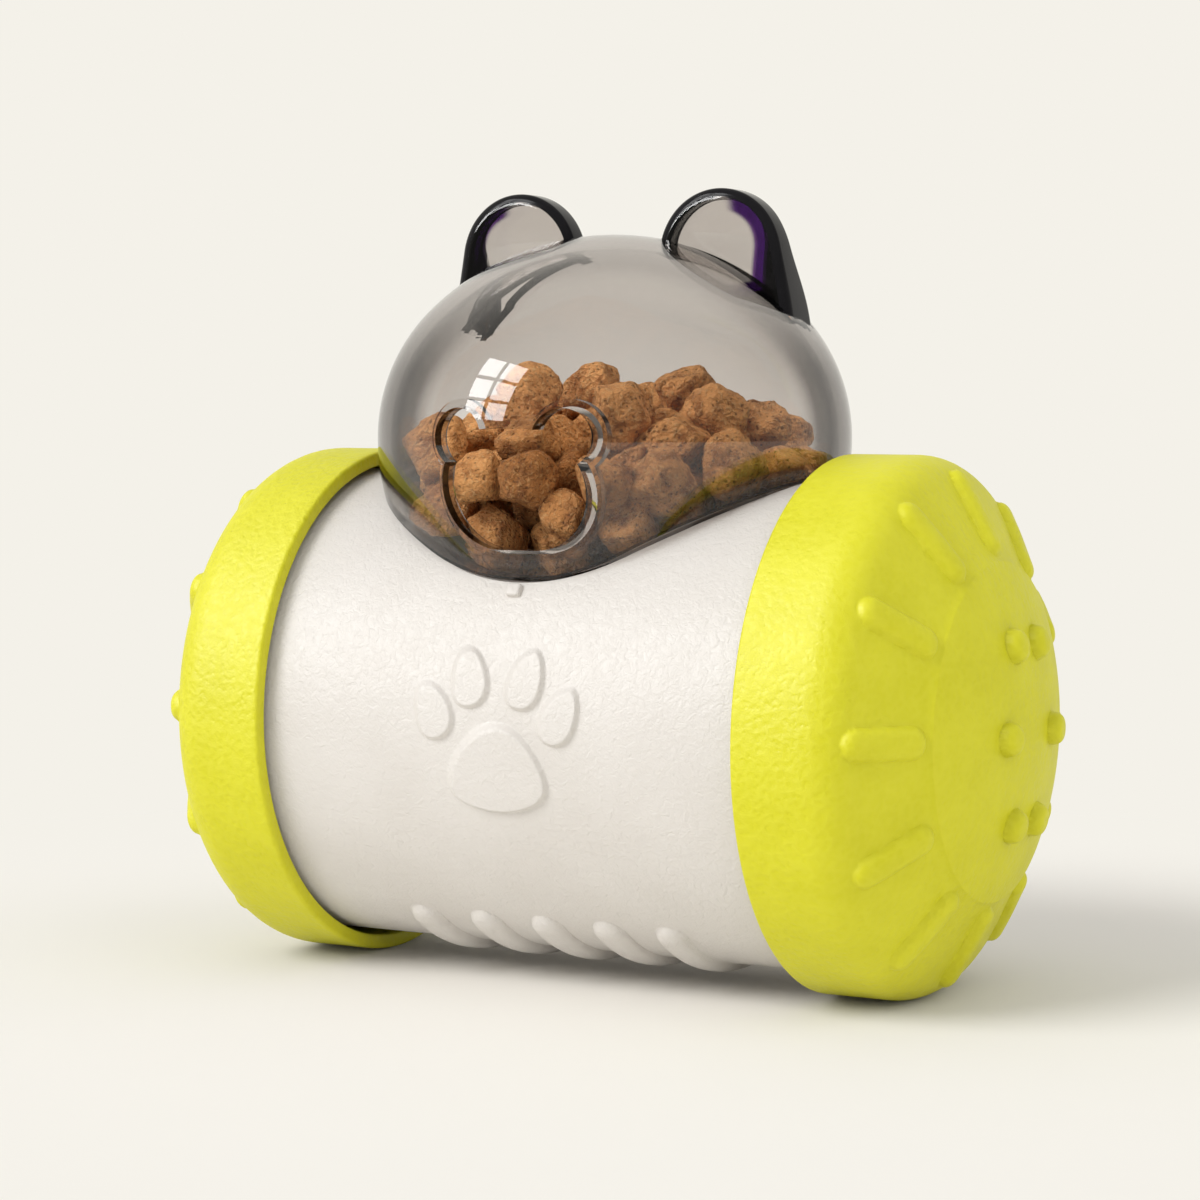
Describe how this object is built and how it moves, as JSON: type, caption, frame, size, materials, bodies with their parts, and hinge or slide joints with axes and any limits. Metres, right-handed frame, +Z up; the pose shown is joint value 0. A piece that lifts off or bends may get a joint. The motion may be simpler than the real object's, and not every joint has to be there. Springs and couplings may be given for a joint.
{
  "type": "treat dispensing wobble toy",
  "caption": "Rolling pet treat toy: a clear bear-head dome with a bear-shaped outlet sits on a weighted drum that hangs between two free ribbed wheels.",
  "frame": {"origin": "on the ground, below the middle of the drum", "axes": "+X along the axle to the right wheel, -Y to the front with the outlet and the paw print, +Z up"},
  "size_m": [0.1404, 0.08, 0.1197],
  "materials": {
    "drum_plastic": "warm white with a fine moulded grain",
    "wheel_rubber": "yellow-green, pebbled",
    "smoke_plastic": "clear smoke grey, polished",
    "inner_plastic": "plain",
    "bush_plastic": "plain, self-lubricating",
    "screw_steel": "zinc plated",
    "weight_iron": "as cast"
  },
  "bodies": {
    "drum": {"drum_shell": "drum_plastic", "left_end_plate": "inner_plastic", "right_end_plate": "inner_plastic", "left_bush": "bush_plastic", "right_bush": "bush_plastic", "food_tray": "inner_plastic", "counterweight": "weight_iron", "weight_cover": "inner_plastic", "weight_screws": "screw_steel"},
    "left_wheel_set": {"left_wheel": "wheel_rubber", "left_hub": "inner_plastic", "left_hub_screws": "screw_steel", "left_thrust_washer": "screw_steel", "left_axle_screw": "screw_steel"},
    "right_wheel_set": {"right_wheel": "wheel_rubber", "right_hub": "inner_plastic", "right_hub_screws": "screw_steel", "right_thrust_washer": "screw_steel", "right_axle_screw": "screw_steel"},
    "head_cover": {"cover": "smoke_plastic"}
  },
  "joints": [
    {"name": "left_wheel_spin", "type": "hinge", "parent": "drum", "child": "left_wheel_set", "pos_m": [-0.0452, 0, 0.04], "axis": [1, 0, 0], "continuous": true},
    {"name": "right_wheel_spin", "type": "hinge", "parent": "drum", "child": "right_wheel_set", "pos_m": [0.0452, 0, 0.04], "axis": [1, 0, 0], "continuous": true},
    {"name": "cover_lift", "type": "slide", "parent": "drum", "child": "head_cover", "axis": [0, 0, 1], "range_m": [0, 0.03]}
  ]
}
